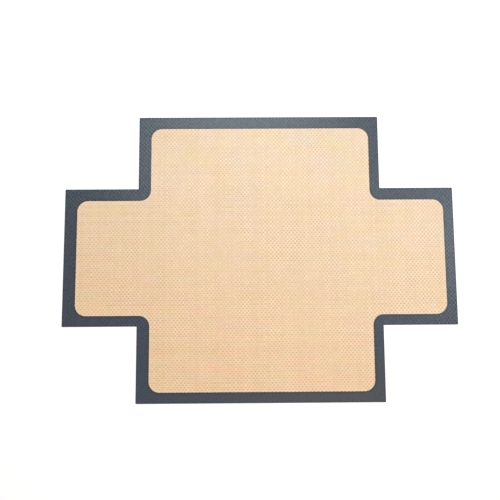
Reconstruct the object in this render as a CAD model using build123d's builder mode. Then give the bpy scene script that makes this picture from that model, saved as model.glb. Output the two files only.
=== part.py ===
"""Cross-shaped silicone baking mat that folds up into a liner for a loaf tin.

The mat is a laminate of four layers. Two tan silicone coats meet round the rim of a woven glass cloth,
and a thin edging is printed on the upper coat. Each layer is drawn whole, and is then cut along the fold
lines, because the four arms of the cross stand up on their own in the tin.

Millimetres, +Z up, +X along the mat. The origin is under the middle of the mat, on the table.
"""

from build123d import *
import os
from math import pi

# The die-cut outline
mat_length = 381.0
mat_width = 279.4
side_flap_depth = 71.8
end_flap_depth = 72.6
cut_corner_radius = 0.8

# The sheet
sheet_thickness = 0.7
cloth_thickness = 0.24
edge_seal = 1.5

# The printed edging, which lies a little off the middle of the cut outline
edging_width = 11.0
edging_thickness = 0.1
window_corner_radius = 10.5
print_shift_x = 1.2
print_shift_y = -0.7

# The middle of the sheet follows this radius when a flap stands upright
fold_radius = 3.0

# Half of the sheet is bedding for the cloth from below, and half covers it
coat_thickness = sheet_thickness / 2
cloth_level = coat_thickness - cloth_thickness / 2
total_thickness = sheet_thickness + edging_thickness

# The base panel reaches to the notches, and the bend takes a quarter circle of sheet outside it
base_length = mat_length - 2 * side_flap_depth
base_width = mat_width - 2 * end_flap_depth
bend_length = fold_radius * pi / 2
base_x = base_length / 2
base_y = base_width / 2
fold_x = base_x + bend_length
fold_y = base_y + bend_length
mat_x = mat_length / 2
mat_y = mat_width / 2


def cross(inset):
    """Two crossing rectangles, the mat's outline drawn in by the same margin on every side."""
    Rectangle(mat_length - 2 * inset, base_width - 2 * inset)
    Rectangle(base_length - 2 * inset, mat_width - 2 * inset)


# The knife rounds the flaps' eight outer corners. The four notch corners between them stay sharp.
with BuildSketch() as cut_outline:
    cross(0)
    flap_corners = cut_outline.vertices().filter_by(lambda v: abs(v.X) > fold_x or abs(v.Y) > fold_y)
    fillet(flap_corners, cut_corner_radius)

# The cloth stops short of the cut, so that no glass fibre lies bare
with BuildSketch() as cloth_outline:
    cross(edge_seal)

# The window that the edging leaves open, with all twelve corners rounded
with BuildSketch() as window:
    with Locations((print_shift_x, print_shift_y)):
        cross(edging_width)
    fillet(window.vertices(), window_corner_radius)

# Lower coat, with a shallow bed for half the cloth
with BuildPart() as bottom_silicone:
    add(cut_outline.sketch)
    extrude(amount=coat_thickness)
    with BuildSketch(Plane.XY.offset(cloth_level)):
        add(cloth_outline.sketch)
    extrude(amount=cloth_thickness / 2, mode=Mode.SUBTRACT)

# Woven glass cloth, which gives the mat its strength
with BuildPart() as glass_cloth:
    with BuildSketch(Plane.XY.offset(cloth_level)):
        add(cloth_outline.sketch)
    extrude(amount=cloth_thickness)

# Upper coat, the baking face, with the bed for the other half
with BuildPart() as top_silicone:
    with BuildSketch(Plane.XY.offset(coat_thickness)):
        add(cut_outline.sketch)
    extrude(amount=coat_thickness)
    with BuildSketch(Plane.XY.offset(coat_thickness)):
        add(cloth_outline.sketch)
    extrude(amount=cloth_thickness / 2, mode=Mode.SUBTRACT)

# Printed edging, from the cut outline in to the window
with BuildPart() as edging:
    with BuildSketch(Plane.XY.offset(sheet_thickness)):
        add(cut_outline.sketch)
        add(window.sketch, mode=Mode.SUBTRACT)
    extrude(amount=edging_thickness)

# The panels between the fold lines, each as two opposite corners
panels = {
    "base": ((-base_x, -base_y), (base_x, base_y)),
    "left_fold": ((-fold_x, -base_y), (-base_x, base_y)),
    "left_flap": ((-mat_x, -base_y), (-fold_x, base_y)),
    "right_fold": ((base_x, -base_y), (fold_x, base_y)),
    "right_flap": ((fold_x, -base_y), (mat_x, base_y)),
    "front_fold": ((-base_x, -fold_y), (base_x, -base_y)),
    "front_flap": ((-base_x, -mat_y), (base_x, -fold_y)),
    "back_fold": ((-base_x, base_y), (base_x, fold_y)),
    "back_flap": ((-base_x, fold_y), (base_x, mat_y)),
}

# On the base panel the edging shows only beside the notches, one patch in each quarter
edging_areas = {name: area for name, area in panels.items() if name != "base"}
edging_areas["base_front_left"] = ((-base_x, -base_y), (0, 0))
edging_areas["base_front_right"] = ((0, -base_y), (base_x, 0))
edging_areas["base_back_left"] = ((-base_x, 0), (0, base_y))
edging_areas["base_back_right"] = ((0, 0), (base_x, base_y))


def write_areas(layer, areas, layer_name):
    """Cuts one layer into the given areas, and writes the piece in each as a node."""
    for area_name, (low, high) in areas.items():
        with BuildPart() as piece:
            add(layer.part)
            with BuildSketch():
                with Locations(((low[0] + high[0]) / 2, (low[1] + high[1]) / 2)):
                    Rectangle(high[0] - low[0], high[1] - low[1])
            extrude(amount=total_thickness, mode=Mode.INTERSECT)
        piece.part.label = f"{area_name}_{layer_name}"
        export_step(piece.part, f"parts/{piece.part.label}.step")
        print(piece.part.label, f"{piece.part.volume:.1f} mm3")


os.makedirs("parts", exist_ok=True)
write_areas(bottom_silicone, panels, "bottom_silicone")
write_areas(glass_cloth, panels, "glass_cloth")
write_areas(top_silicone, panels, "top_silicone")
write_areas(edging, edging_areas, "edging")
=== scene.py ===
# %% [markdown]
# # A silicone baking mat that folds up into a loaf tin
#
# The mat is a laminate. Two tan silicone coats have a woven glass cloth between them, and a thin
# blue-grey edging is printed along the rim of the upper coat. The CAD model, which is loaded first,
# holds the true sizes of these layers and the four folds. This lesson gives every layer the
# surface that the eye meets: the weave that presses through the silicone, and its colours.
# All lengths are in metres.

# %% Load the fixed frame
import math

import bpy
import numpy as np
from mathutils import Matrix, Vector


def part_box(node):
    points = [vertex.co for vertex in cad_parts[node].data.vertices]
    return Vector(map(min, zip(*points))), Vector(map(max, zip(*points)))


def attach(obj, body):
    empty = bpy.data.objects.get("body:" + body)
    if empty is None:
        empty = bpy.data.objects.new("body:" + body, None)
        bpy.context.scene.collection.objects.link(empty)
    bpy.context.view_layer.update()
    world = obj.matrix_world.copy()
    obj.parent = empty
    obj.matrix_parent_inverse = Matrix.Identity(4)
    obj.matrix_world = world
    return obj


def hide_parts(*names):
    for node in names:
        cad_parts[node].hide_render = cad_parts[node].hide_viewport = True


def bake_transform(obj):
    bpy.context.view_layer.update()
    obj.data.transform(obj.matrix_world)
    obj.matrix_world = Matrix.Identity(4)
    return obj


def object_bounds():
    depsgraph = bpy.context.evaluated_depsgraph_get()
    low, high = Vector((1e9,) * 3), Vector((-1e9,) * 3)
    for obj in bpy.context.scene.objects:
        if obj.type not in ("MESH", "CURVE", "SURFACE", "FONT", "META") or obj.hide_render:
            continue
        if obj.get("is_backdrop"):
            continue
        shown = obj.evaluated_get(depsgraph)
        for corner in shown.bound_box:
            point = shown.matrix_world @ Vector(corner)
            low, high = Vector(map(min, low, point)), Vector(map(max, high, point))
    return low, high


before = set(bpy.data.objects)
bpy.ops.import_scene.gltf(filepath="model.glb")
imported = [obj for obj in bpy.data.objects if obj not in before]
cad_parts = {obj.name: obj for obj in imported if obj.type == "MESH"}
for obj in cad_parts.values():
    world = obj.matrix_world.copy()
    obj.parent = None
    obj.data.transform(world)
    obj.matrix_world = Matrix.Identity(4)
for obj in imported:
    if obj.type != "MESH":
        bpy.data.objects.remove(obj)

mm = 0.001
cad_low, cad_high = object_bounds()
print("CAD box in mm:", [round(side / mm, 2) for side in cad_high - cad_low])

# %% [markdown]
# ## The five panels
#
# The mat is a cross: a base panel with an arm on each side. An arm is a narrow fold strip and the
# flap beyond it. In the CAD model the two are separate nodes, but on the real mat they are one
# sheet, so each layer of an arm is made as one mesh that runs through the fold. The sizes come
# from the CAD boxes, so that they don't have to be typed again.

# %% Read the panels from the CAD boxes
arms = {"left": (-1, 0), "right": (1, 0), "front": (0, -1), "back": (0, 1)}
panels = ["base", *arms]


def nodes_of(panel, layer):
    """The CAD nodes that hold one layer of the base panel, or of an arm with its fold strip."""
    if panel == "base":
        return [f"base_{layer}"]
    return [f"{panel}_fold_{layer}", f"{panel}_flap_{layer}"]


def layer_box(panel, layer):
    """Lowest and highest corner of one layer of a panel."""
    corners = np.array([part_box(node) for node in nodes_of(panel, layer)])
    return corners[:, 0].min(0), corners[:, 1].max(0)


base_low, base_high = layer_box("base", "top_silicone")
fold_low, fold_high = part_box("right_fold_top_silicone")
cloth_low, cloth_high = layer_box("right", "glass_cloth")
base_x, base_y, sheet_top = base_high
mat_x, mat_y, print_top = cad_high
coat_level = base_low[2]
bend_length = fold_high.x - fold_low.x
edge_seal = mat_x - cloth_high[0]
print("base panel in mm:", round(2 * base_x / mm, 1), "x", round(2 * base_y / mm, 1))
print("fold strip in mm:", round(bend_length / mm, 2))

window_low = np.array(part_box("base_front_left_edging")[1])[:2]
window_high = np.array(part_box("base_back_right_edging")[0])[:2]
edging_width = base_x - (window_high[0] - window_low[0]) / 2
print_shift = (window_high + window_low) / 2
print("edging in mm:", round(edging_width / mm, 1), "off the middle by", np.round(print_shift / mm, 1))

# %% [markdown]
# The edging and the colours near its rim need to know how far a point is from the cut edge and from
# the window. Both outlines are the same cross with rounded corners, drawn in by a margin, so one
# function serves both. It looks at a quarter of the cross: two bars, and the notch between them.
# Only the radii of the corners are typed here, because a box doesn't tell them.

# %% Measure depth inside a cross
cut_corner = 0.8 * mm
window_corner = 10.5 * mm


def depth_in_cross(x, y, margin, corner, middle):
    """How far a point lies inside the rounded cross. It is negative outside."""
    x = np.abs(x - middle[0])
    y = np.abs(y - middle[1])
    depths = []
    for half_x, half_y in ((mat_x, base_y), (base_x, mat_y)):
        past_x = x - (half_x - margin - corner)
        past_y = y - (half_y - margin - corner)
        round_depth = corner - np.hypot(np.maximum(past_x, 0), np.maximum(past_y, 0))
        depths.append(round_depth - np.minimum(np.maximum(past_x, past_y), 0))
    notch_x = base_x - margin + corner - x
    notch_y = base_y - margin + corner - y
    notch_depth = np.hypot(notch_x, notch_y) - corner
    return np.where((notch_x > 0) & (notch_y > 0), notch_depth, np.maximum(*depths))


middle_depth = depth_in_cross(0, 0, 0, cut_corner, (0, 0))
print("the middle of the mat lies", round(float(middle_depth) / mm, 1), "mm inside the cut")

# %% [markdown]
# ## The weave
#
# The cloth is a plain weave: each yarn goes over one neighbour and under the next. The yarns along
# Y stand a little higher than those that cross them. So the silicone has a crown where such a yarn
# is on top and a shallow pit where it dives, and crowns and pits alternate like the fields of a
# chessboard. A product of two cosines has that shape. It could be left to a bump map, but real
# relief also shows at the cut edge and under the edging, so it goes into the meshes.
#
# No loom is perfect: the yarns wander a little from straight. A few long waves with fixed random
# phases move the pattern, and because they depend only on the place on the mat, the relief fits
# across every fold line and between the layers.

# %% Count yarns across the mat
warp_pitch = 1.814 * mm
weft_pitch = 2.117 * mm
pitches = (warp_pitch, weft_pitch)
relief_depth = 0.16 * mm

wander = 0.13 * mm
wander_waves = 4
wander_lengths = (60 * mm, 260 * mm)
wander_seed = 5
dice = np.random.default_rng(wander_seed)
wave_turns = 2 * math.pi / dice.uniform(*wander_lengths, (2, wander_waves, 2))
wave_starts = dice.uniform(0, 2 * math.pi, (2, wander_waves))


def wandered(x, y, axis):
    """How far the yarns have wandered at a point, along X or along Y."""
    waves = zip(wave_turns[axis], wave_starts[axis])
    return wander * sum(np.sin(turns[0] * x + turns[1] * y + start) for turns, start in waves)


def yarn_counts(x, y):
    """The yarns between the middle of the mat and a point, counted along X and along Y."""
    return (x + wandered(x, y, 0)) / warp_pitch, (y + wandered(x, y, 1)) / weft_pitch


def relief(x, y, underside=False):
    """How far the silicone stands out of its pits. Where a yarn dives above, it is a crown below."""
    across, along = yarn_counts(x, y)
    weave = np.cos(math.pi * across) * np.cos(math.pi * along)
    return relief_depth * (1 - weave if underside else 1 + weave) / 2


print("yarns across the mat:", round(2 * mat_x / warp_pitch), "and", round(2 * mat_y / weft_pitch))

# %% [markdown]
# ## Grids that follow the yarns
#
# The relief needs three grid cells for each yarn, and these cells lie on the yarns, because cells
# of another pitch would beat with the weave and draw stripes that the mat doesn't have. Further
# lines are put in where the shape needs them: at the rim of the cloth's bed, in the rounded
# corners, and closer together in the fold. A line a hair inside every fold line keeps the shading
# the same on both sides of it, so that the fold doesn't show while the mat lies flat.

# %% Lay out grid lines
cells_per_yarn = 3
hair = 0.02 * mm
bed_wall = 0.1 * mm
corner_cells = 4
fold_cells = 16
crowding_share = 0.3
line_decimals = 8


def spaced(low, high, step, needed):
    """The needed lines, and the even ones that don't crowd them."""
    needed = np.unique(np.round([low, high, *needed], line_decimals))
    even = np.arange(math.ceil(low / step), math.floor(high / step) + 1) * step
    gap = np.abs(even[:, None] - needed).min(1)
    return needed, even[gap > crowding_share * step]


def merged(needed, even):
    """Needed and even lines in one row, from low to high."""
    return np.sort(np.concatenate([needed, even]))


def panel_lines(panel, layer, cells, inner_lines):
    """Needed and even lines along X and along Y. An arm's seam side gets the lines of its fold."""
    low, high = layer_box(panel, layer)
    out = arms.get(panel, (0, 0))
    lines = []
    for axis, pitch in enumerate(pitches):
        needed = []
        for edge, inward in ((low[axis], 1), (high[axis], -1)):
            if panel == "base" or out[axis] == inward:
                needed += [edge + inward * hair]
            if out[axis] == inward:
                needed += list(edge + inward * np.linspace(0, bend_length, fold_cells + 1))
            else:
                needed += [edge + inward * line for line in inner_lines]
        lines.append(spaced(low[axis], high[axis], pitch / cells, needed))
    return lines


base_lines = panel_lines("base", "top_silicone", cells_per_yarn, [])
print("even lines over the base panel:", [len(even) for needed, even in base_lines])

# %% [markdown]
# ## Closed sheets
#
# Each layer is a closed solid, as the real one is, and two things are kept with its mesh. A finish
# that took its place from coordinates in space would slide over the silicone as a flap folds up.
# So the yarn counts, and the depths inside the cut outline and the window, go into attributes of
# the mesh. And a map lays the faces out flat for baking: the side that shows fills nearly the whole
# image, and the hidden side and the walls lie in strips below it.

# %% Make mesh objects
hidden_strip = (0.0, 0.05)
wall_strips = ((0.056, 0.068), (0.071, 0.083), (0.086, 0.098), (0.101, 0.113))
shown_strip = (0.12, 1.0)


def lay_out_flat(mesh, points, shown, hidden):
    """The map for baking. The faces come in order: those that show, the hidden ones, the walls."""
    corners = np.zeros(len(mesh.loops), int)
    mesh.loops.foreach_get("vertex_index", corners)
    sizes = np.zeros(len(mesh.polygons), int)
    mesh.polygons.foreach_get("loop_total", sizes)
    normals = np.zeros(3 * len(mesh.polygons))
    mesh.polygons.foreach_get("normal", normals)
    face = np.repeat(np.arange(len(sizes)), sizes)
    normal = normals.reshape(-1, 3)[face]
    share = ((points - points.min(0)) / np.ptp(points, axis=0))[corners]
    faces_x = np.abs(normal[:, 0]) > np.abs(normal[:, 1])
    side = np.where(faces_x, normal[:, 0] > 0, 2 + (normal[:, 1] > 0))
    foot, head = np.array(wall_strips)[side].T
    u = np.where((face >= shown + hidden) & faces_x, share[:, 1], share[:, 0])
    v = foot + (head - foot) * share[:, 2]
    for kept, strip in ((face < shown + hidden, hidden_strip), (face < shown, shown_strip)):
        v = np.where(kept, strip[0] + (strip[1] - strip[0]) * share[:, 1], v)
    mesh.uv_layers.new(name="OFBake").data.foreach_set("uv", np.column_stack([u, v]).ravel())


def as_piece(name, points, faces, shown, hidden):
    """A mesh object with smooth sides and flat walls, its attributes and its map."""
    mesh = bpy.data.meshes.new(name)
    mesh.from_pydata(points, [], faces)
    mesh.polygons.foreach_set("use_smooth", np.arange(len(faces)) < shown + hidden)
    x, y, z = points.T
    counts = np.column_stack([*yarn_counts(x, y), z / warp_pitch])
    mesh.attributes.new("yarns", "FLOAT_VECTOR", "POINT").data.foreach_set("vector", counts.ravel())
    in_cut = depth_in_cross(x, y, 0, cut_corner, (0, 0))
    mesh.attributes.new("depth_in_cut", "FLOAT", "POINT").data.foreach_set("value", in_cut)
    in_window = depth_in_cross(x, y, edging_width, window_corner, print_shift)
    mesh.attributes.new("depth_in_window", "FLOAT", "POINT").data.foreach_set("value", in_window)
    lay_out_flat(mesh, points, shown, hidden)
    piece = bpy.data.objects.new(name, mesh)
    bpy.context.scene.collection.objects.link(piece)
    print(name, len(faces), "faces")
    return piece


# %% [markdown]
# A coat has a skin, which shows, and a side against the cloth, which never does. So the hidden side
# gets a far coarser grid, and a wall between the two is a row of polygons with many points on one
# side and two on the other.

# %% Build a closed coat
cells_per_hidden_cell = 4 * cells_per_yarn


def quads(index):
    """The corners of every cell in a grid of point numbers, counter-clockwise from above."""
    return np.stack([index[:-1, :-1], index[:-1, 1:], index[1:, 1:], index[1:, :-1]], -1).reshape(-1, 4)


def as_points(x, y, z):
    """One row for each point of a grid."""
    return np.column_stack([x.ravel(), y.ravel(), z.ravel()])


def rounded(x, y, corner, out, radii):
    """Draws the grid points of a square corner in to a round one."""
    u = ((x - corner[0]) * out[0] + radii[0]) / radii[0]
    v = ((y - corner[1]) * out[1] + radii[1]) / radii[1]
    inside = (u > 0) & (v > 0)
    pull = np.where(inside, np.maximum(u, v) / np.where(inside, np.hypot(u, v), 1), 1) - 1
    return x + u * pull * radii[0] * out[0], y + v * pull * radii[1] * out[1]


def coat(name, lines, corners, skin, bed, faces_up):
    """A closed sheet with a fine skin and a coarse bed, and walls with all points of both rims."""
    fine = [merged(needed, even) for needed, even in lines]
    coarse = [merged(needed, even[::cells_per_hidden_cell]) for needed, even in lines]
    skin_x, skin_y = np.meshgrid(*fine)
    bed_x, bed_y = np.meshgrid(*coarse)
    bed_z = bed(bed_x, bed_y)
    for corner, out in corners:
        skin_x, skin_y = rounded(skin_x, skin_y, corner, out, (cut_corner, cut_corner))
        bed_x, bed_y = rounded(bed_x, bed_y, corner, out, (cut_corner, cut_corner))
    skin_z = skin(skin_x, skin_y)
    points = np.concatenate([as_points(skin_x, skin_y, skin_z), as_points(bed_x, bed_y, bed_z)])
    top = np.arange(skin_x.size).reshape(skin_x.shape)
    foot = skin_x.size + np.arange(bed_x.size).reshape(bed_x.shape)
    turn = 1 if faces_up else -1
    shown = quads(top)[:, ::turn].tolist()
    hidden = quads(foot)[:, ::-turn].tolist()
    walls = []
    steps = [np.searchsorted(f, c) for f, c in zip(fine, coarse)]
    sides = [(top[0], foot[0], steps[0], 1), (top[-1], foot[-1], steps[0], -1),
             (top[:, 0], foot[:, 0], steps[1], -1), (top[:, -1], foot[:, -1], steps[1], 1)]
    for skin_rim, bed_rim, marks, hand in sides:
        for k in range(len(marks) - 1):
            above = skin_rim[marks[k]:marks[k + 1] + 1]
            wall = [*bed_rim[k:k + 2], *above[::-1]]
            walls.append([int(point) for point in wall[::turn * hand]])
    return as_piece(name, points, shown + hidden + walls, len(shown), len(hidden))


# %% [markdown]
# The cloth and the edging follow the weave on both sides, so their builder makes both from the same
# grid. It leaves out the cells that aren't to be kept, and closes the rim round the others with
# walls. At the tip of the edging's lip the two sides meet, and there they share their points.

# %% Build a closed slab
least_thickness = hair / 100


def slab(name, x, y, low, high, keep):
    """A closed sheet with both sides fine, made of the cells to keep."""
    top = np.arange(x.size).reshape(x.shape)
    foot = np.where(high - low < least_thickness, top, top + x.size)
    shown = quads(top)[keep.ravel()].tolist()
    hidden = quads(foot)[keep.ravel()][:, ::-1].tolist()
    walls = []
    framed = np.pad(keep, 1)
    for i, j in np.argwhere(keep):
        ring = [(i, j), (i, j + 1), (i + 1, j + 1), (i + 1, j)]
        beside = [framed[i, j + 1], framed[i + 1, j + 2], framed[i + 2, j + 1], framed[i + 1, j]]
        for a, b, kept in zip(ring, ring[1:] + ring[:1], beside):
            if kept:
                continue
            wall = list(dict.fromkeys([foot[a], foot[b], top[b], top[a]]))
            if len(wall) > 2:
                walls.append(wall)
    points = np.concatenate([as_points(x, y, high), as_points(x, y, low)])
    faces = shown + hidden + walls
    used = np.unique(np.concatenate([np.ravel(face) for face in faces]))
    number = np.zeros(len(points), int)
    number[used] = np.arange(len(used))
    faces = [number[face].tolist() for face in faces]
    return as_piece(name, points[used], faces, len(shown), len(hidden))


# %% [markdown]
# ## The silicone coats
#
# A coat is spread as a liquid, fills the cloth, and cures. Its outer face keeps the weave as soft
# relief, and inside it has a bed that holds half of the cloth's thickness. Round the rim, where the
# cloth stops short, the two coats meet. The bed follows the same rule as in the CAD model: it lies
# wherever the cloth is.

# %% Shape the two coats
coat_lines = [edge_seal, edge_seal + bed_wall, *np.linspace(0, cut_corner, corner_cells + 1)]


def has_cloth(x, y):
    """Whether the cloth, which is the mat's cross drawn in by the seal, lies at a point."""
    x, y = np.abs(x), np.abs(y)
    seal = edge_seal + hair / 2
    long_bar = (x < mat_x - seal) & (y < base_y - seal)
    wide_bar = (x < base_x - seal) & (y < mat_y - seal)
    return long_bar | wide_bar


def upper_skin(x, y):
    return sheet_top - relief_depth + relief(x, y)


def lower_skin(x, y):
    return relief_depth - relief(x, y, underside=True)


def upper_bed(x, y):
    return np.where(has_cloth(x, y), cloth_high[2], coat_level)


def lower_bed(x, y):
    return np.where(has_cloth(x, y), cloth_low[2], coat_level)


def knife_corners(panel):
    """An arm's two outer corners, which the knife rounds, each with the way it points."""
    out = arms[panel]
    reach = (mat_x if out[0] else base_x, mat_y if out[1] else base_y)
    ways = [(out[0] or hand, out[1] or hand) for hand in (-1, 1)]
    return [((way[0] * reach[0], way[1] * reach[1]), way) for way in ways]


coat_sides = [
    ("top_silicone", upper_skin, upper_bed, True),
    ("bottom_silicone", lower_skin, lower_bed, False),
]
coats = {}
for panel in panels:
    corners = [] if panel == "base" else knife_corners(panel)
    for layer, skin, bed, faces_up in coat_sides:
        lines = panel_lines(panel, layer, cells_per_yarn, coat_lines)
        coats[panel, layer] = coat(f"{panel}_{layer}_coat", lines, corners, skin, bed, faces_up)

# %% [markdown]
# ## The glass cloth
#
# The cloth is buried and shows in no picture, but it is a real piece of the mat, and on the real mat
# it bends in the folds with the coats. Both of its sides carry the weave. It stops a seal's width
# short of every cut, so that no glass fibre lies bare, and so the base panel's share lacks a small
# square in each notch.

# %% Weave the cloth
cloth_cells_per_yarn = 2
cloth_relief_share = 0.35

cloths = {}
for panel in panels:
    low, high = layer_box(panel, "glass_cloth")
    notch_lines = [edge_seal] if panel == "base" else []
    lines = panel_lines(panel, "glass_cloth", cloth_cells_per_yarn, notch_lines)
    x, y = np.meshgrid(*[merged(needed, even) for needed, even in lines])
    over = cloth_high[2] + cloth_relief_share * (relief(x, y) - relief_depth)
    under = cloth_low[2] + cloth_relief_share * (relief_depth - relief(x, y, underside=True))
    keep = has_cloth((x[1:, 1:] + x[:-1, :-1]) / 2, (y[1:, 1:] + y[:-1, :-1]) / 2)
    cloths[panel] = slab(f"{panel}_woven_glass_cloth", x, y, under, over, keep)

# %% [markdown]
# ## The edging
#
# The edging is a second silicone, printed on the upper coat as a wet film. It follows the relief
# under it, and it ends at the window in a rounded lip, which creeps into the pits and draws back
# from the crowns, so the lip has faint scallops. On the base panel the edging is a patch beside
# each notch, with one rounded corner, and a grid like the coats' makes it.

# %% Print the patches beside the notches
edging_film = print_top - sheet_top
lip = 0.3 * mm
lip_cells = 4
lip_lines = lip * (1 - np.cos(np.linspace(0, math.pi / 2, lip_cells + 1)))


def lay_film(name, x, y, from_window):
    """Edging on the coat's relief: full film, and the round of the lip near the window."""
    share = np.clip(1 - from_window / lip, 0, 1)
    coat_face = upper_skin(x, y)
    film = edging_film * np.sqrt(1 - share ** 2)
    keep = np.ones((x.shape[0] - 1, x.shape[1] - 1), bool)
    return slab(name, x, y, coat_face, coat_face + film, keep)


def print_patch(name, way):
    """The patch beside the notch that lies this way from the middle of the mat."""
    notch = (way[0] * base_x, way[1] * base_y)
    window = [(window_high if way[axis] > 0 else window_low)[axis] for axis in (0, 1)]
    lines = []
    for axis, pitch in enumerate(pitches):
        needed = [window[axis] + way[axis] * line for line in lip_lines]
        needed += [notch[axis] - way[axis] * hair]
        span = sorted([notch[axis], window[axis]])
        lines.append(merged(*spaced(*span, pitch / cells_per_yarn, needed)))
    x, y = np.meshgrid(*lines)
    from_window = np.minimum(np.abs(x - window[0]), np.abs(y - window[1]))
    radii = [min(window_corner, abs(notch[axis] - window[axis])) for axis in (0, 1)]
    x, y = rounded(x, y, window, (-way[0], -way[1]), radii)
    return lay_film(name, x, y, from_window)


patches = {}
for end, to_end in (("front", -1), ("back", 1)):
    for hand, to_hand in (("left", -1), ("right", 1)):
        patch_name = f"base_{end}_{hand}_printed_edging"
        patches[f"{end}_{hand}"] = print_patch(patch_name, (to_hand, to_end))

# %% [markdown]
# On an arm the edging is a U, with a rounded corner in the window at each end of the flap. A square
# grid can't follow that, so the U is a ribbon of stations. Each station has a point on the cut edge
# and a point on the window, and the film is laid between the two. The window is printed off the
# middle, so the two halves of a U differ, and each is planned by itself.

# %% Plan half of a U
station_step = 0.65 * mm
knife_steps = 28


def evenly(start, end, step):
    """Even places from start to end, about a step apart."""
    return np.linspace(start, end, 1 + max(1, round(abs(end - start) / step)))


def half_ribbon(depth, half, window_out, window_side):
    """Stations from the fold line to the middle of the arm's end, as (out, aside) of both points."""
    arc_out, arc_side = window_out - window_corner, window_side - window_corner
    fold_reach = np.linspace(0, bend_length, fold_cells + 1)
    reach = np.concatenate([[hair], fold_reach, evenly(bend_length, arc_out, station_step)[1:]])
    leg = [((out, half), (out, window_side)) for out in np.sort(reach)]

    # Round the corner the ribbon fans out, with as many points on the window's arc as on the cut
    knife = [(out, half) for out in np.linspace(arc_out, depth - cut_corner, knife_steps)]
    for turn in np.linspace(0, math.pi / 2, corner_cells + 1)[1:-1]:
        knife.append((depth - cut_corner * (1 - math.sin(turn)), half - cut_corner * (1 - math.cos(turn))))
    knife += [(depth, aside) for aside in np.linspace(half - cut_corner, arc_side, knife_steps)]
    arc = []
    for turn in np.linspace(0, math.pi / 2, len(knife)):
        arc.append((arc_out + window_corner * math.sin(turn), arc_side + window_corner * math.cos(turn)))
    end = [((depth, aside), (window_out, aside)) for aside in evenly(arc_side, 0, station_step)[1:]]
    return np.array(leg + list(zip(knife, arc))[1:] + end)


# %% [markdown]
# The two halves are joined at the arm's end and turned to the way that the arm points. The ribbon
# has even cells across its body and finer ones in the lip.

# %% Print the U along each arm
ribbon_cells = 16
scallop = 0.15 * mm


def print_arm(name, out):
    """The U of film on the arm that points this way out of the base panel."""
    out = np.array(out)
    side = np.array([-out[1], out[0]])
    seam = abs(out @ (base_x, base_y))
    half = abs(side @ (base_x, base_y))
    depth = abs(out @ (mat_x, mat_y)) - seam
    window_out = depth - edging_width + out @ print_shift
    legs = []
    for hand in (-1, 1):
        leg = half_ribbon(depth, half, window_out, half - edging_width + hand * (side @ print_shift))
        legs.append(leg * (1, hand))
    ribbon = np.concatenate([legs[0], legs[1][-2::-1]])
    cut, window = [seam * out + ribbon[:, k, :1] * out + ribbon[:, k, 1:] * side for k in (0, 1)]
    width = np.linalg.norm(window - cut, axis=1)
    inward = (window - cut) / width[:, None]

    # The lip creeps into the pits, but not at the fold line, where it meets the base panel's patch
    fade = np.clip(ribbon[:, 1, 0] / bend_length, 0, 1)
    creep = scallop * fade * (0.5 - relief(window[:, 0], window[:, 1]) / relief_depth)
    body = np.linspace(1, 0, ribbon_cells, endpoint=False)
    from_window = np.column_stack([*[lip + (width - lip) * share for share in body],
                                   *[np.full(len(width), line) for line in lip_lines[::-1]]])
    reach = width[:, None] - from_window + creep[:, None] * (1 - from_window / width[:, None])
    x, y = [cut[:, axis, None] + inward[:, axis, None] * reach for axis in (0, 1)]
    x, y, from_window = [grid[:, ::-1] for grid in (x, y, from_window)]
    return lay_film(name, x, y, from_window)


edgings = {arm: print_arm(f"{arm}_printed_edging", out) for arm, out in arms.items()}

# %% [markdown]
# ## Shader maths in plain Python
#
# A finish here is a formula: "darker by a tenth in the pits". Blender writes such a formula as a
# chain of Math nodes, which is hard to read and to change. So a small class stands for a node's
# output and overloads the arithmetic signs, and each sign adds its Math node. Anything else, such
# as noise, comes from one method that takes the node's type, its settings and its inputs. The
# table and the room are made with the same two classes.

# %% Wrap nodes and their outputs
class Nodes:
    """The nodes of a material or a world, and the one method that adds to them."""

    def __init__(self, owner):
        self.owner = owner
        owner.use_nodes = True
        self.tree = owner.node_tree
        self.tree.nodes.clear()

    def node(self, kind, settings=None, inputs=None, output=0):
        """Adds a node with its settings and its inputs. An input is a value or a wire."""
        made = self.tree.nodes.new(kind)
        for name, value in (settings or {}).items():
            setattr(made, name, value)
        for name, value in (inputs or {}).items():
            if isinstance(value, Wire):
                self.tree.links.new(value.socket, made.inputs[name])
            else:
                made.inputs[name].default_value = value
        return Wire(self, made.outputs[output]) if len(made.outputs) else None

    def maths(self, operation, *values):
        return self.node("ShaderNodeMath", {"operation": operation}, dict(enumerate(values)))

    def vector_maths(self, operation, *values, output=0):
        inputs = dict(enumerate(values))
        return self.node("ShaderNodeVectorMath", {"operation": operation}, inputs, output)

    def attribute(self, name, output="Fac"):
        return self.node("ShaderNodeAttribute", {"attribute_name": name}, output=output)


class Wire:
    """A node's output that stands in a formula like a number."""

    def __init__(self, nodes, socket):
        self.nodes = nodes
        self.socket = socket

    def __add__(self, other):
        return self.nodes.maths("ADD", self, other)

    def __sub__(self, other):
        return self.nodes.maths("SUBTRACT", self, other)

    def __rsub__(self, other):
        return self.nodes.maths("SUBTRACT", other, self)

    def __mul__(self, other):
        return self.nodes.maths("MULTIPLY", self, other)

    __radd__ = __add__
    __rmul__ = __mul__

    def rising(self, start, end):
        """0 up to start, 1 from end on, and a smooth rise between them."""
        inputs = {"Value": self, "From Min": start, "From Max": end}
        return self.nodes.node("ShaderNodeMapRange", {"interpolation_type": "SMOOTHSTEP"}, inputs)


# %% [markdown]
# Colours go through nodes of their own, because a Math node would turn them grey. Colours are
# written as the levels from 0 to 255 that a screen shows, and turned into amounts of light.

# %% Mix colours, and end a material
mix_share, mix_first, mix_second = 0, 6, 7      # places of the Mix node's inputs for colours
mix_result = 2                                  # and of its output
bump_distance = 0.02 * mm
silicone_ior = 1.41


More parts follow.
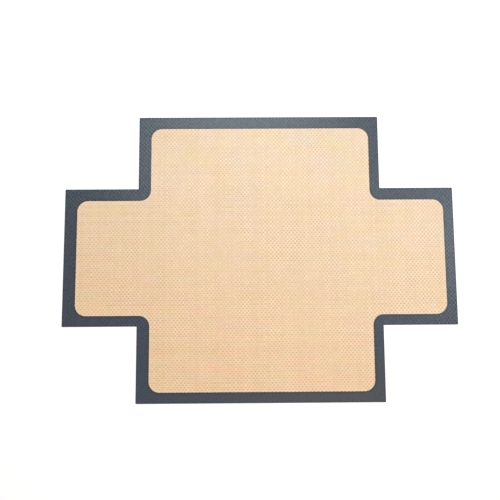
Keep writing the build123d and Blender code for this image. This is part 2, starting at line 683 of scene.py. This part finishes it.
def linear(*levels):
    """A colour given by screen levels, as light. This is the standard curve of screens."""
    shares = [level / 255 for level in levels]
    return (*[s / 12.92 if s <= 0.04045 else ((s + 0.055) / 1.055) ** 2.4 for s in shares], 1)


def mixed(nodes, share, first, second, blend="MIX"):
    """The second colour mixed into the first, or multiplied with it."""
    settings = {"data_type": "RGBA", "blend_type": blend}
    inputs = {mix_share: share, mix_first: first, mix_second: second}
    return nodes.node("ShaderNodeMix", settings, inputs, mix_result)


def scaled(nodes, colour, shares):
    """A colour whose red, green and blue are each multiplied by a share."""
    tint = nodes.node("ShaderNodeCombineXYZ", None, dict(zip("XYZ", shares)))
    return mixed(nodes, 1.0, colour, tint, "MULTIPLY")


def bump(nodes, strength, height):
    inputs = {"Strength": strength, "Distance": bump_distance, "Height": height}
    return nodes.node("ShaderNodeBump", None, inputs)


def surface(nodes, inputs):
    """Ends a material: its shader, and the output that shows it."""
    shader = nodes.node("ShaderNodeBsdfPrincipled", None, inputs)
    nodes.node("ShaderNodeOutputMaterial", None, {"Surface": shader})
    print(nodes.owner.name, len(nodes.tree.nodes), "shader nodes")
    return nodes.owner


# %% [markdown]
# ## What every finish knows of the weave
#
# All three finishes read the same few things from the yarn counts: whether a point is on a crown or
# in a pit, a number of its own for each yarn and for each crossing of two yarns, and soft noise. A
# helper works them out. A yarn that is up on one side of the cloth dives on the other, so crowns
# and pits change places on the underside. The height of a point, which the yarn counts carry as
# their third value, tells the two sides apart.
#
# The weave doesn't show equally well all over. The coat is spread a little thicker at one end than
# at the other, it has patches, and it lies thinner on a thick yarn. All of this is one value, the
# clarity, by which crowns and pits get their colour.

# %% Read the weave in a material
# The heights, in warp yarns, between which a wall turns from one side's weave to the other's
seam_blur = 0.1
coat_seam = [share * coat_level / warp_pitch for share in (1 - seam_blur, 1 + seam_blur)]

warp_seed = 0
weft_seed = 40
half_yarn = (0.5, 0.5, 0.5)

# A noise texture keeps to about a quarter on either side of a half
noise_gain = 4

# A wedge has its value in the middle of the mat, and its rise for each yarn to the right and back.
# A kind of noise has its strength, the size of its lumps in yarns, and a seed that sets it apart.
clarity_wedge = (1, 0.0015, -0.0008)
clarity_patches = [(0.42, 40, 3.0), (0.34, 7, 5.0)]
clarity_of_yarn = 0.14
clarity_of_crossing = 0.5


class Weave:
    """The weave's own values, worked out from the yarn counts of the mesh."""

    def __init__(self, nodes):
        self.nodes = nodes
        self.yarns = nodes.attribute("yarns", "Vector")
        self.across, self.along, height = [self.one_count(axis) for axis in "XYZ"]
        self.faces_up = height.rising(*coat_seam)
        waves = [nodes.maths("COSINE", count * math.pi) for count in (self.across, self.along)]
        self.lift = waves[0] * waves[1] * (2 * self.faces_up - 1)      # 1 on a crown, -1 in a pit

    def one_count(self, axis):
        return self.nodes.node("ShaderNodeSeparateXYZ", None, {0: self.yarns}, axis)

    def wedge(self, middle, across, along):
        """A value that changes evenly over the mat."""
        return middle + across * self.across + along * self.along

    def random(self, dimensions, which):
        """A random number from -1 to 1 for each whole number, or for each place of whole numbers."""
        made = self.nodes.node("ShaderNodeTexWhiteNoise", {"noise_dimensions": dimensions}, which)
        return made * 2 - 1

    def own_number(self, count, seed):
        """A random number for each yarn, warp or weft."""
        return self.random("1D", {"W": self.nodes.maths("FLOOR", count + seed + 0.5)})

    def crossing_number(self):
        """A random number for each crossing of two yarns."""
        middle = self.nodes.vector_maths("ADD", self.yarns, half_yarn)
        return self.random("3D", {"Vector": self.nodes.vector_maths("FLOOR", middle)})

    def noise(self, *kinds, detail=2.0, squeeze=(1, 1, 1)):
        """The sum of some kinds of soft noise, each about as far up and down as its strength."""
        total = 0
        places = self.nodes.vector_maths("MULTIPLY", self.yarns, squeeze)
        for strength, lump, seed in kinds:
            inputs = {"Vector": places, "W": seed, "Scale": 1 / lump, "Detail": detail}
            made = self.nodes.node("ShaderNodeTexNoise", {"noise_dimensions": "4D"}, inputs)
            total = total + strength * noise_gain * (made - 0.5)
        return total

    def clarity(self):
        """How clearly the weave shows: more where the coat is thin, and on a thick yarn."""
        yarns = self.own_number(self.across, warp_seed) + self.own_number(self.along, weft_seed)
        uneven = clarity_of_yarn * yarns + clarity_of_crossing * self.crossing_number()
        return self.wedge(*clarity_wedge) + self.noise(*clarity_patches) + uneven


# %% [markdown]
# ## Tan silicone
#
# The silicone is pigmented a pale tan and lets a little light through, so it looks darker where it
# lies deep over a pit, and lighter over a crown where the white glass is near; each crown also gets a
# painted highlight. From the front left to the back right the tan is painted paler and less orange,
# a painted veil of the softboxes mirrored towards the back and the right.
#
# Baking mats are never one even colour. Pink and yellow clouds lie stretched along the weft, and a
# paler rim follows the edging.

# %% Cloud the tan
# Painted veil: the tan goes from the front left's colour to a paler, less orange one at the back right
front_left_tan = linear(254, 205, 160)
veiled_tan = linear(233, 219, 201)
painted_veil_wedge = (0.5, 0.003, 0.008)
pink_cloud = linear(249, 208, 179)
pink_noise = (0.5, 11, 1.0)
yellow_cloud = linear(242, 214, 165)
yellow_noise = (0.5, 9, 2.0)
cloud_detail = 3.0
cloud_squeeze = (0.6, 1.3, 1)
pale_rim = linear(243, 219, 204)
pale_rim_width = 3.2 * mm
pale_rim_share = 0.75


def cloudy_tan(nodes, weave):
    """The colour that the coat has between crowns and pits."""
    # The painted veil of the softboxes: paler and less orange towards the back right
    colour = mixed(nodes, weave.wedge(*painted_veil_wedge), front_left_tan, veiled_tan)
    for cloud, kind in ((pink_cloud, pink_noise), (yellow_cloud, yellow_noise)):
        share = 0.5 + weave.noise(kind, detail=cloud_detail, squeeze=cloud_squeeze)
        colour = mixed(nodes, share, colour, cloud)
    rim = weave.faces_up * nodes.attribute("depth_in_window").rising(pale_rim_width, 0)
    return mixed(nodes, pale_rim_share * rim, colour, pale_rim)


# %% [markdown]
# Single yarns show as faint streaks. The yarn that is on top lends its number to the place, so a
# darker yarn shows as a broken line of crowns, as a thicker or dirtier yarn does on real cloth.
# Each weft yarn also draws a faint dark line along its middle, clearest towards the front left.

# %% Streak the tan
warp_streak = 0.044
weft_streak = 0.05
weft_streak_noise = (0.04, 25, 10.0)
weft_line = 0.09
weft_line_wedge = (0.5, -0.0015, -0.004)
weft_line_noise = (0.3, 22, 11.0)
tan_of_crossing = 0.022
tan_mottle = [(0.018, 12, 4.0), (0.02, 3.5, 9.0)]


def tan_brightness(nodes, weave):
    """How much lighter or darker a place is than the cloudy tan, as a share of it."""
    warp_on_top = 0.5 + 0.5 * weave.lift
    warp = warp_streak * weave.own_number(weave.across, warp_seed)
    weft = (weft_streak + weave.noise(weft_streak_noise)) * weave.own_number(weave.along, weft_seed)
    streaks = warp * warp_on_top + weft * (1 - warp_on_top)
    lined = weave.wedge(*weft_line_wedge) + weave.noise(weft_line_noise)
    lines = weft_line * lined * nodes.maths("COSINE", weave.along * (2 * math.pi))
    return streaks - lines + weave.noise(*tan_mottle) + tan_of_crossing * weave.crossing_number()


# %% [markdown]
# Tan pigment swallows blue light most, so blue varies more than red from light to dark places. The
# surface is satin. A fine bump adds the texture that is too small for the mesh.

# %% Mix the tan silicone
# Crowns are paler, partly as the glass lies near and partly as a painted highlight
crown_tan_and_highlight = linear(255, 229, 202)
crown_highlight_share = 0.56
pit_tan = linear(212, 162, 114)
pit_tan_share = 0.48
deep_tint = (0.79, 1.0, 1.21)
fine_grain = (1, 0.4, 6.0)
tan_bump = 0.25
tan_roughness = 0.42
tan_roughness_noise = (0.03, 3.5, 7.0)


def tan_silicone():
    nodes = Nodes(bpy.data.materials.new("tan_silicone_coat"))
    weave = Weave(nodes)
    clarity = weave.clarity()
    crown = weave.lift.rising(0, 1)
    pit = (-1 * weave.lift).rising(0, 1)
    colour = cloudy_tan(nodes, weave)
    # Paler crowns: the glass near the surface, and a painted highlight
    colour = mixed(nodes, crown_highlight_share * crown * clarity, colour, crown_tan_and_highlight)
    colour = mixed(nodes, pit_tan_share * pit * clarity, colour, pit_tan)
    brightness = tan_brightness(nodes, weave)
    colour = scaled(nodes, colour, [1 + share * brightness for share in deep_tint])
    roughness = tan_roughness + weave.noise(tan_roughness_noise)
    grain = bump(nodes, tan_bump, weave.noise(fine_grain))
    return surface(nodes, {"Base Color": colour, "Roughness": roughness, "Normal": grain,
                           "IOR": silicone_ior})


finishes = {"tan_silicone": tan_silicone()}

# %% [markdown]
# ## Edging silicone
#
# The edging is a dense blue-grey ink. It hides the cloth's colour but not its relief. The crowns under
# it get a more polished film, and a painted highlight, a paler grey on each crown, draws a fine
# cross-hatch of glints. The painted highlight is strongest towards the back and at the right end,
# near the softboxes. Along the window the film's lip lets the tan through and turns dark brown. Along
# the cut it is a little darker.

# %% Mix the edging silicone
edging_grey = linear(25, 33, 44)
# The paler grey is a painted highlight on each crown
crown_highlight_grey = linear(73, 83, 97)
glint_strength = 0.62
glint_of_crossing = 0.4
glint_wedge = (0.5, 0, 0.004)
glint_end_yarns = (92, 101)
glint_end_share = 1.1
lip_tint = (1.05, 0.66, 0.26, 1)
lip_tint_width = 3.8 * mm
cut_tint = (0.8, 0.8, 0.8, 1)
cut_tint_width = 2.0 * mm
# Painted shade: the print is a little darker towards the back
painted_shade_wedge = (1, 0, -0.0006)
print_mottle = [(0.03, 12, 4.0), (0.02, 4, 8.0)]
edging_bump = 0.2
edging_roughness = 0.31
crown_polish = 0.05


def edging_silicone():
    nodes = Nodes(bpy.data.materials.new("edging_silicone_print"))
    weave = Weave(nodes)
    # The painted highlight grows towards the back and towards the right end
    glint_end = weave.across.rising(*glint_end_yarns)
    glint_reach = weave.wedge(*glint_wedge) + glint_end_share * glint_end
    clarity = weave.clarity() + glint_of_crossing * weave.crossing_number()
    glint_share = 0.5 + glint_strength * glint_reach * weave.lift * clarity
    colour = mixed(nodes, glint_share, edging_grey, crown_highlight_grey)
    lip_share = nodes.attribute("depth_in_window").rising(-lip_tint_width, 0)
    colour = mixed(nodes, lip_share, colour, lip_tint, "MULTIPLY")
    cut_share = nodes.attribute("depth_in_cut").rising(cut_tint_width, 0)
    colour = mixed(nodes, cut_share, colour, cut_tint, "MULTIPLY")
    # Painted shade darker towards the back, and mottling
    brightness = weave.wedge(*painted_shade_wedge) + weave.noise(*print_mottle)
    colour = scaled(nodes, colour, [brightness] * 3)
    roughness = edging_roughness - crown_polish * weave.lift.rising(0, 1)
    grain = bump(nodes, edging_bump, weave.noise(fine_grain))
    return surface(nodes, {"Base Color": colour, "Roughness": roughness, "Normal": grain,
                           "IOR": silicone_ior})


finishes["edging_silicone"] = edging_silicone()

# %% [markdown]
# ## Glass yarn
#
# Woven glass is off-white, with a silky gloss along its filaments. The filaments are drawn as fine
# lines along whichever yarn is on top.

# %% Mix the glass yarn
glass_white = linear(240, 238, 230)
glass_shade = linear(205, 203, 192)
filament_lines = 20
filament_share = 0.3
glass_bump = 0.3
glass_roughness = 0.4
yarn_edge = (-0.1, 0.1)


def glass_yarn():
    nodes = Nodes(bpy.data.materials.new("glass_yarn"))
    weave = Weave(nodes)
    warp_on_top = weave.lift.rising(*yarn_edge)
    turns = 2 * math.pi * filament_lines
    warp, weft = [nodes.maths("SINE", count * turns) for count in (weave.across, weave.along)]
    filaments = warp_on_top * warp + (1 - warp_on_top) * weft
    colour = mixed(nodes, filament_share + filament_share * filaments, glass_white, glass_shade)
    silk = bump(nodes, glass_bump, filaments)
    return surface(nodes, {"Base Color": colour, "Roughness": glass_roughness, "Normal": silk})


finishes["glass_cloth"] = glass_yarn()

# %% [markdown]
# ## Dress the mat
#
# Every mesh takes its finish, and the CAD nodes that it stands for are hidden. The base layers ride
# on the base. An arm's layer stays where it was built, with its place baked into the mesh.

# %% Hand each piece its finish, and hide its CAD nodes
def dress(piece, slot, panel, cad_nodes):
    """Gives a piece its finish and hides the nodes that it stands for. A base piece rides on the base."""
    piece.data.materials.append(finishes[slot])
    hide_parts(*cad_nodes)
    if panel == "base":
        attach(piece, "base")
        return
    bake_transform(piece)


for (panel, layer), piece in coats.items():
    dress(piece, "tan_silicone", panel, nodes_of(panel, layer))
for panel, piece in cloths.items():
    dress(piece, "glass_cloth", panel, nodes_of(panel, "glass_cloth"))
for arm, piece in edgings.items():
    dress(piece, "edging_silicone", arm, nodes_of(arm, "edging"))
for corner, piece in patches.items():
    dress(piece, "edging_silicone", "base", [f"base_{corner}_edging"])
print(len(coats) + len(cloths) + len(edgings) + len(patches), "pieces")

# %% [markdown]
# The size that the glass cloth of each panel was cut to is worked out and printed. The cloth lies on
# the lower coat, and the upper coat and the print lie on it. The base panel's share lacks a small
# square in each notch, as far as the seal goes.

for panel, piece in cloths.items():
    low, high = layer_box(panel, "glass_cloth")
    size = (high - low)[:2]
    notches = 4 if panel == "base" else 0
    area = size[0] * size[1] - notches * edge_seal ** 2
    prints = list(patches.values()) if panel == "base" else [edgings[panel]]
    print(piece.name, "cut to", np.round(size / mm, 1), "mm")

# %% [markdown]
# ## The table
#
# The mat lies on a white table. Its paint is a pale grey that only looks lifted to white, so that it
# keeps the mat's soft shadow, and away from the mat it turns pure white. This holds for what the
# camera sees, and for what a polished or clear surface mirrors or lets through. To all other light
# the table stays pale grey.

# %% Lay the table
floor_reach = 6.0
white = (1, 1, 1, 1)
table_grey = (0.8, 0.8, 0.8, 1)
table_lift = 0.41
white_glow = 1.0
white_from = 0.22
white_to = 0.45
white_rays = ("Is Camera Ray", "Is Glossy Ray", "Is Transmission Ray")


def seen_white(nodes):
    """1 for each of the rays that find the surroundings white, and 0 for all others."""
    seen, *others = [nodes.node("ShaderNodeLightPath", output=ray) for ray in white_rays]
    for other in others:
        seen = nodes.maths("MAXIMUM", seen, other)
    return seen


floor_mesh = bpy.data.meshes.new("floor")
ways = ((-1, -1), (1, -1), (1, 1), (-1, 1))
floor_mesh.from_pydata([(x * floor_reach, y * floor_reach, -hair) for x, y in ways], [], [(0, 1, 2, 3)])
floor = bpy.data.objects.new("floor", floor_mesh)
bpy.context.scene.collection.objects.link(floor)
floor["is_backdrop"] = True

table = Nodes(bpy.data.materials.new("white_table"))
grey = table.node("ShaderNodeBsdfDiffuse", None, {"Color": table_grey})
lift = table.node("ShaderNodeEmission", None, {"Color": white, "Strength": table_lift})
near = table.node("ShaderNodeAddShader", None, {0: grey, 1: lift})
far = table.node("ShaderNodeEmission", None, {"Color": white, "Strength": white_glow})
place = table.node("ShaderNodeTexCoord", output="Object")
away = table.vector_maths("LENGTH", place, output="Value").rising(white_from, white_to)
lifted = table.node("ShaderNodeMixShader", None, {0: away, 1: near, 2: far})
shown = table.node("ShaderNodeMixShader", None, {0: seen_white(table), 1: grey, 2: lifted})
table.node("ShaderNodeOutputMaterial", None, {"Surface": shown})
floor_mesh.materials.append(table.owner)
print("the table is", 2 * floor_reach, "m wide, and white from", white_to / mm, "mm outwards")

# %% [markdown]
# ## The light
#
# The room is white, and like the table it looks brighter than the light that it sheds. Three
# softboxes hang in it. A slightly cool one behind the mat and a smaller one on the right are
# mirrored in the satin silicone, and give it a pale veil towards the back and the right. A weak,
# warm one fills the front. All of them together light the mat at a plain level, so its colours come
# out as they are written.

# %% Set the light
room_light = 0.29

room = Nodes(bpy.data.worlds.new("white_room"))
dim = room.node("ShaderNodeBackground", None, {"Color": white, "Strength": room_light})
bright = room.node("ShaderNodeBackground", None, {"Color": white, "Strength": white_glow})
walls = room.node("ShaderNodeMixShader", None, {0: seen_white(room), 1: dim, 2: bright})
room.node("ShaderNodeOutputWorld", None, {"Surface": walls})
bpy.context.scene.world = room.owner


def softbox(name, place, size, power, colour):
    """A square lamp that points at the middle of the mat."""
    lamp = bpy.data.lights.new(name, "AREA")
    lamp.size = size
    lamp.energy = power
    lamp.color = colour
    holder = bpy.data.objects.new(name, lamp)
    holder.location = place
    holder.rotation_euler = (-holder.location).to_track_quat("-Z", "Y").to_euler()
    bpy.context.scene.collection.objects.link(holder)
    print(name, round(holder.location.length, 2), "m from the mat")


cool = (0.905, 1.0, 1.057)
warm = (1.0, 0.62, 0.38)
softbox("back_softbox", place=(-0.016, 0.413, 0.885), size=0.49, power=4.66, colour=cool)
softbox("right_softbox", place=(0.425, 0.102, 0.65), size=0.25, power=1.28, colour=cool)
softbox("front_softbox", place=(0.131, -0.358, 0.655), size=0.38, power=0.89, colour=warm)

# %% [markdown]
# ## The camera
#
# The camera looks almost straight down at the mat, from a little in front of its middle. Its place,
# its turn in degrees and its lens were worked out together, from how the mat's outline narrows
# towards the back in the photograph. The sensor and the lens are in millimetres.

# %% Set the camera
camera_place = (-0.0134, -0.0616, 0.5813)
camera_turn = (6.663, -0.349, -0.378)
sensor_width = 36.0
focal_share = 1.2
nearest_seen = 10 * mm

camera_data = bpy.data.cameras.new("camera")
camera_data.sensor_width = sensor_width
camera_data.lens = focal_share * sensor_width
camera_data.clip_start = nearest_seen
camera = bpy.data.objects.new("camera", camera_data)
camera.location = camera_place
camera.rotation_euler = [math.radians(turn) for turn in camera_turn]
bpy.context.scene.collection.objects.link(camera)
bpy.context.scene.camera = camera
bpy.context.scene.view_settings.view_transform = "Standard"
print("the camera is", round(camera.location.length, 3), "m from the middle of the mat")

# %% [markdown]
# ## The size
#
# The relief and the lip stay inside the CAD model's box. The box round the dressed mat is printed
# here, to set beside the CAD box printed at the start.

# %% Write down the size, and finish
low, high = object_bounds()
print("visual box in mm:", [round(side / mm, 2) for side in high - low])
